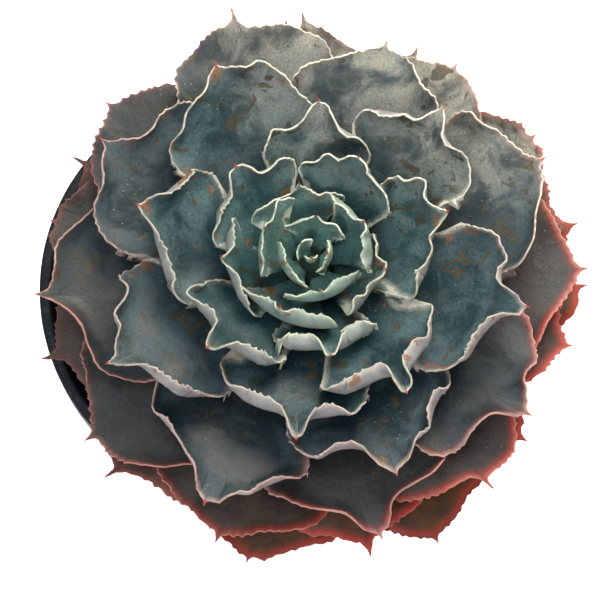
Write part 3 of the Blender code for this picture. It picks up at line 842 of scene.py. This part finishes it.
def stem_material():
    """Dry corky bark, greener toward the leaves."""
    g = Graph("stem_corky_bark")
    fine = g.noise(1.4, 5.0, 0.65)
    colour = g.mix(g.fade(fine, 0.3, 0.7), *BARK)
    colour = g.mix(g.fade(g.noise(6, 3.0), 0.5, 0.66, 0.0, 0.6), colour, ALGAE)
    height = g.node("ShaderNodeSeparateXYZ")
    g.feed(height.inputs[0], g.coordinates)
    colour = g.mix(g.fade(height.outputs["Z"], GREEN_FROM, GREEN_BY), colour, GREEN_STEM)
    g.feed(g.shader.inputs["Base Color"], colour)
    g.feed(g.shader.inputs["Roughness"], g.fade(fine, 0.2, 0.8, 0.75, 0.95))
    g.feed(g.shader.inputs["Normal"], g.bump(fine, 0.5))
    return g.material


# ---------------------------------------------------------------- pot, soil and stem


def show(mesh_or_bmesh, name, material, node):
    """Puts a piece in the scene in place of a CAD node."""
    mesh = mesh_or_bmesh
    if isinstance(mesh, bmesh.types.BMesh):
        mesh = bpy.data.meshes.new(name)
        mesh_or_bmesh.to_mesh(mesh)
        mesh_or_bmesh.free()
        mesh.shade_smooth()
    mesh.materials.append(material)
    obj = bpy.data.objects.new(name, mesh)
    bpy.context.scene.collection.objects.link(obj)
    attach(obj, "root")
    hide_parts(node)
    return obj


def turned(outline, segments):
    """A closed bmesh turned about +Z from (radius, height) points that start and end on that axis."""
    work = bmesh.new()
    points = [work.verts.new((radius * MM, 0, height * MM)) for radius, height in outline]
    edges = [work.edges.new(pair) for pair in zip(points, points[1:])]
    whole = {"axis": (0, 0, 1), "cent": (0, 0, 0), "angle": 2 * math.pi}
    bmesh.ops.spin(work, geom=points + edges, steps=segments, **whole)
    bmesh.ops.remove_doubles(work, verts=work.verts, dist=0.001 * MM)
    bmesh.ops.recalc_face_normals(work, faces=work.faces)
    return work


def rounded(outline, steps=5):
    """The outline of (radius, height, rounding) corners with each corner turned into an arc."""
    points = [outline[0][:2]]
    for before, corner, after in zip(outline, outline[1:], outline[2:]):
        at = np.array(corner[:2], float)
        size = corner[2]
        if size == 0:
            points.append(tuple(at))
            continue
        back = np.array(before[:2], float) - at
        on = np.array(after[:2], float) - at
        back *= min(size, 0.45 * np.linalg.norm(back)) / np.linalg.norm(back)
        on *= min(size, 0.45 * np.linalg.norm(on)) / np.linalg.norm(on)
        for t in np.linspace(0, 1, steps + 1):
            points.append(tuple(at + back * (1 - t) ** 2 + on * t**2))
    points.append(outline[-1][:2])
    return points


def round_post(work, radius, depth, segments):
    """Adds a capped cylinder about the middle of the frame, and gives back its vertices."""
    size = {"radius1": radius * MM, "radius2": radius * MM, "depth": depth * MM}
    return bmesh.ops.create_cone(work, cap_ends=True, segments=segments, **size)["verts"]


def cut_out(piece, work):
    """Takes the closed bmesh away from a piece."""
    mesh = bpy.data.meshes.new("cutter")
    work.to_mesh(mesh)
    work.free()
    cutter = bpy.data.objects.new("cutter", mesh)
    bpy.context.scene.collection.objects.link(cutter)
    cut = piece.modifiers.new("cut", "BOOLEAN")
    cut.operation = "DIFFERENCE"
    cut.object = cutter
    bpy.context.view_layer.update()
    finished = bpy.data.meshes.new_from_object(piece.evaluated_get(bpy.context.evaluated_depsgraph_get()))
    piece.modifiers.clear()
    piece.data = finished
    bpy.data.objects.remove(cutter)
    return finished


POT_WALL = 1.6
RIM_GROOVE = 1.3
RIM_DEPTH = 14.0
FOOT_WIDTH = 7.0
FOOT_HEIGHT = 2.5
FLOOR_TOP = 4.9
PAD_RADIUS = 20.0
POT_BASE_RADIUS = 60.0
DRAIN_HOLE_RADIUS = 5.0
DRAIN_HOLES = 8
# How far the foot's corners, the base, the lip and the floor's corner are rounded
FOOT_ROUNDING = 0.8
BASE_ROUNDING = 1.5
LIP_ROUNDING = 1.4
FLOOR_ROUNDING = 2.0
POT_SEGMENTS = 160
CUTTER_DEPTH = 15


def make_pot(rim_radius, height):
    """The pot with its rolled rim, foot and drain holes."""
    base = POT_BASE_RADIUS - POT_WALL
    top = rim_radius - 2 * POT_WALL - RIM_GROOVE

    def inside(z):
        return base + (top - base) * z / height

    skirt = height - RIM_DEPTH
    under = height - POT_WALL
    groove = rim_radius - POT_WALL
    foot = POT_BASE_RADIUS - FOOT_WIDTH
    outline = rounded((
        (0, 0, 0),
        (PAD_RADIUS, 0, FOOT_ROUNDING),
        (PAD_RADIUS + 1, FOOT_HEIGHT, FOOT_ROUNDING),
        (foot - 1, FOOT_HEIGHT, FOOT_ROUNDING),
        (foot, 0, FOOT_ROUNDING),
        (POT_BASE_RADIUS, 0, BASE_ROUNDING),
        (inside(30) + POT_WALL, 30, 0),
        (inside(60) + POT_WALL, 60, 0),
        (inside(skirt) + POT_WALL, skirt, 0),
        (inside(under) + POT_WALL, under, 0.6),
        (groove, under, 0.6),
        (groove, skirt, 0.5),
        (rim_radius, skirt, 0.5),
        (rim_radius, height - 6, 0),
        (rim_radius, height, LIP_ROUNDING),
        (inside(height), height, 1.2),
        (inside(height - 8), height - 8, 0),
        (inside(60), 60, 0),
        (inside(FLOOR_TOP), FLOOR_TOP, FLOOR_ROUNDING),
        (0, FLOOR_TOP, 0),
    ))
    pot = show(turned(outline, POT_SEGMENTS), "pot_moulded", pot_material(), "pot")
    ring = (PAD_RADIUS + foot) / 2
    work = bmesh.new()
    for k in range(DRAIN_HOLES):
        angle = 2 * math.pi * (k + 0.5) / DRAIN_HOLES
        post = round_post(work, DRAIN_HOLE_RADIUS, CUTTER_DEPTH, 32)
        place = Vector((ring * math.cos(angle), ring * math.sin(angle), FLOOR_TOP / 2)) * MM
        bmesh.ops.translate(work, verts=post, vec=place)
    finished = cut_out(pot, work)
    finished.set_sharp_from_angle(angle=math.radians(40))


SOCKET_GAP = 0.4
SOCKET_DEPTH = 40
SOIL_SEGMENTS = 140
# The bottom of the mix is narrower than its top by this share, and a slope joins them
SOIL_BOTTOM = 0.72
SOIL_SHOULDER = 3
EVEN_BORDER = 4
GRAINS = 520
GRAIN_SIZES = (0.7, 2.2)
PUMICE_SHARE = 0.3
PUMICE_SHAPE = (1.0, 0.9, 0.75)
BARK_SHAPE = (1.7, 0.8, 0.4)


def soil_plug(rng, low, high, wall):
    """A plug of mix with a lumpy top."""
    widening = 1 - SOIL_BOTTOM
    rings = [(0, low), (wall * SOIL_BOTTOM, low)]
    rings += [(wall * (SOIL_BOTTOM + widening * t), low + (high - SOIL_SHOULDER - low) * t) for t in (0.5, 1)]
    rings += [(wall * share, high - 1.5 + 1.0 * (1 - share * share)) for share in np.linspace(0.995, 0, 40)]
    work = turned(rings, SOIL_SEGMENTS)
    phases = rng.uniform(0, 6.3, (6, 2))
    ways = rng.normal(0, 1, (6, 2))
    for vert in work.verts:
        x, y, z = vert.co / MM
        if z < high - 2:
            continue
        bumps = 0
        for k, ((a, b), (phase, _)) in enumerate(zip(ways, phases)):
            bumps += math.sin((x * a + y * b) / (3 + 2 * k) + phase)
        edge = 1 - smooth((math.hypot(x, y) - wall + EVEN_BORDER) / EVEN_BORDER)
        vert.co.z += (0.22 * bumps + rng.uniform(-0.3, 0.3)) * float(edge) * MM
    return work


def strew(work, layer, rng, high, wall, plant):
    """Bark and pumice lying on the mix, each with its own tone."""
    for _ in range(GRAINS):
        distance = (wall - EVEN_BORDER) * math.sqrt(rng.random())
        angle = rng.uniform(0, 2 * math.pi)
        x, y = distance * math.cos(angle), distance * math.sin(angle)
        if math.hypot(x - plant[0], y - plant[1]) < STEM_RADIUS + 3:
            continue
        size = rng.uniform(*GRAIN_SIZES)
        stone = rng.random() < PUMICE_SHARE
        lump = bmesh.ops.create_icosphere(work, subdivisions=1, radius=size * MM)["verts"]
        spin = Matrix.Rotation(rng.uniform(0, 6.3), 3, "Z") @ Matrix.Rotation(rng.uniform(-0.5, 0.5), 3, "X")
        stretch = PUMICE_SHAPE if stone else BARK_SHAPE
        shade = rng.uniform(0.84, 1.0) if stone else rng.uniform(0.05, 0.75)
        for vert in lump:
            rough = 1 + rng.uniform(-0.18, 0.18)
            co = Vector([c * k * rough for c, k in zip(vert.co, stretch)])
            vert.co = spin @ co + Vector((x, y, high - 0.9 + rng.uniform(0, 0.1))) * MM
            vert[layer] = shade


def make_soil(low, high, wall, plant, stem_low):
    """The potting mix, strewn with bark and pumice, and a socket for the stem."""
    rng = np.random.default_rng(SEED)
    work = soil_plug(rng, low, high, wall)
    layer = work.verts.layers.float.new("grain")
    strew(work, layer, rng, high, wall, plant)
    mix = show(work, "potting_mix", soil_material(), "soil")
    socket = bmesh.new()
    post = round_post(socket, STEM_RADIUS + SOCKET_GAP, SOCKET_DEPTH, STEM_SEGMENTS)
    middle = stem_low - SOCKET_GAP + SOCKET_DEPTH / 2
    bmesh.ops.translate(socket, verts=post, vec=Vector((*plant, middle)) * MM)
    cut_out(mix, socket)


STEM_SEGMENTS = 72
STEM_RINGS = 90
# The stem is this much thinner, in radius, than the leaf bases at the same height, and never thinner than the
# second number
BARK_GAP = 1.9
LEAST_STEM = 0.3


def stem_widths(leaves, low, soil_top):
    """Heights up the stem and its radius at each."""
    steps = [(leaf.base_height, max(LEAST_STEM, leaf.base_radius - BARK_GAP)) for leaf in reversed(leaves)]
    return list(zip(*([(low, STEM_RADIUS), (soil_top + 2, STEM_RADIUS)] + steps)))


def make_stem(low, high, plant, widths):
    """The leaf-bearing trunk, ringed with old leaf scars."""
    heights = np.linspace(low, high, STEM_RINGS)
    outline = [(0, low)]
    outline += [(float(np.interp(z, *widths)) + 0.12 * math.sin(z * 2.6), z) for z in heights[:-1]]
    outline.append((0, high))
    work = turned(outline, STEM_SEGMENTS)
    for vert in work.verts:
        x, y, z = vert.co / MM
        angle = math.atan2(y, x)
        scar = 0.14 * math.sin(5 * angle + z * 1.3) * math.sin(z * 2.1)
        vert.co.x *= 1 + scar / max(3.0, math.hypot(x, y))
        vert.co.y *= 1 + scar / max(3.0, math.hypot(x, y))
    bmesh.ops.translate(work, verts=work.verts, vec=Vector((*plant, 0)) * MM)
    show(work, "trunk", stem_material(), "stem")


# ---------------------------------------------------------------- the scene


FLOOR_REACH = 3.0
FLOOR_TINTS = ((0.90, 0.90, 0.90), (0.93, 0.93, 0.93))
FLOOR_GLOW = 0.65


def make_floor():
    """A pale ground that glows a little, so that it is as white as the photo's."""
    g = Graph("pale_floor")
    g.feed(g.shader.inputs["Base Color"], g.mix(g.fade(g.noise(60, 2.0), 0.3, 0.7), *FLOOR_TINTS))
    g.shader.inputs["Roughness"].default_value = 0.9
    g.shader.inputs["Emission Color"].default_value = (1, 1, 1, 1)
    g.shader.inputs["Emission Strength"].default_value = FLOOR_GLOW
    mesh = bpy.data.meshes.new("floor")
    corners = [(FLOOR_REACH * x, FLOOR_REACH * y, 0) for x, y in ((-1, -1), (1, -1), (1, 1), (-1, 1))]
    mesh.from_pydata(corners, [], [(0, 1, 2, 3)])
    mesh.materials.append(g.material)
    floor = bpy.data.objects.new("floor", mesh)
    bpy.context.scene.collection.objects.link(floor)


def add_light(name, azimuth, elevation, distance, size, power, colour):
    """A round soft light that faces the plant. Azimuth is counter-clockwise from +X, seen from above."""
    light = bpy.data.lights.new(name, "AREA")
    light.shape = "DISK"
    light.size = size
    light.energy = power
    light.color = colour
    obj = bpy.data.objects.new(name, light)
    a, e = math.radians(azimuth), math.radians(elevation)
    way = Vector((math.cos(a) * math.cos(e), math.sin(a) * math.cos(e), math.sin(e)))
    obj.location = CAMERA_TARGET + way * distance
    obj.rotation_mode = "QUATERNION"
    obj.rotation_quaternion = way.to_track_quat("Z", "Y")
    bpy.context.scene.collection.objects.link(obj)


CAMERA_TARGET = Vector((0.017, -0.020, 0.175))
CAMERA_ELEVATION = 75.0
CAMERA_DISTANCE = 0.78
CAMERA_LENS = 127.9


def make_camera():
    """The photo's camera, in front of the plant and almost straight above it."""
    camera = bpy.data.cameras.new("camera")
    camera.lens = CAMERA_LENS
    camera.sensor_width = 36
    obj = bpy.data.objects.new("camera", camera)
    e = math.radians(CAMERA_ELEVATION)
    back = Vector((0, -math.cos(e), math.sin(e)))
    obj.location = CAMERA_TARGET + back * CAMERA_DISTANCE
    obj.rotation_mode = "QUATERNION"
    obj.rotation_quaternion = back.to_track_quat("Z", "Y")
    bpy.context.scene.collection.objects.link(obj)
    bpy.context.scene.camera = obj


def make_studio():
    """The ground, a warm lamp at the upper right, two soft fills and a dim white surrounding."""
    make_floor()
    warm, cool, plain = (1.0, 0.92, 0.79), (0.84, 0.93, 1.0), (1.0, 0.98, 0.94)
    add_light("key", azimuth=66, elevation=43, distance=0.60, size=0.46, power=6.0, colour=warm)
    add_light("overhead", azimuth=150, elevation=78, distance=1.5, size=1.2, power=9, colour=cool)
    add_light("near", azimuth=250, elevation=46, distance=1.3, size=0.5, power=9.0, colour=plain)
    world = bpy.data.worlds.new("studio")
    world.use_nodes = True
    world.node_tree.nodes["Background"].inputs["Color"].default_value = (1, 1, 1, 1)
    world.node_tree.nodes["Background"].inputs["Strength"].default_value = 0.20
    bpy.context.scene.world = world
    bpy.context.scene.view_settings.view_transform = "Standard"


def slot_for(age):
    return ("leaf_heart", "leaf_middle", "leaf_outer", "leaf_lowest")[(age > 15) + (age > 30) + (age > 45)]


def make_leaves(frame, leaves, plant):
    """Every leaf in place of its CAD node, numbered from the bud."""
    names = [f"leaf_{number:02d}" for number in range(1, len(leaves) + 1)]
    room = Room([frame["nodes"][name] for name in names])
    origin = np.array((plant[0] * MM, plant[1] * MM, 0.0))
    materials = {}
    for own, (name, leaf) in enumerate(zip(names, leaves)):
        slot = slot_for(leaf.age)
        if slot not in materials:
            materials[slot] = leaf_material(slot + "_skin")
        mesh = leaf_mesh(name + "_grown", leaf, room, own, origin)
        show(mesh, name + "_grown", materials[slot], name)


def main():
    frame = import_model()
    for obj in list(bpy.data.objects):
        if obj.type in ("CAMERA", "LIGHT"):
            bpy.data.objects.remove(obj)
    _, pot_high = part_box("pot")
    rim_radius = pot_high.x / MM
    height = pot_high.z / MM
    stem_low, stem_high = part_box("stem")
    plant = ((stem_low.x + stem_high.x) / 2 / MM, (stem_low.y + stem_high.y) / 2 / MM)
    soil_low, soil_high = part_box("soil")
    make_pot(rim_radius, height)
    make_soil(soil_low.z / MM, soil_high.z / MM, soil_high.x / MM, plant, stem_low.z / MM)
    crown = height + LEAVES_ABOVE_RIM + OLDEST_LEAF * RISE_PER_LEAF
    leaves = [Leaf(age, crown) for age in range(OLDEST_LEAF + 1) if age not in FALLEN_LEAVES]
    widths = stem_widths(leaves, stem_low.z / MM, soil_high.z / MM)
    make_stem(stem_low.z / MM, stem_high.z / MM, plant, widths)
    make_leaves(frame, leaves, plant)
    make_studio()
    make_camera()
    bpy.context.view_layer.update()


main()
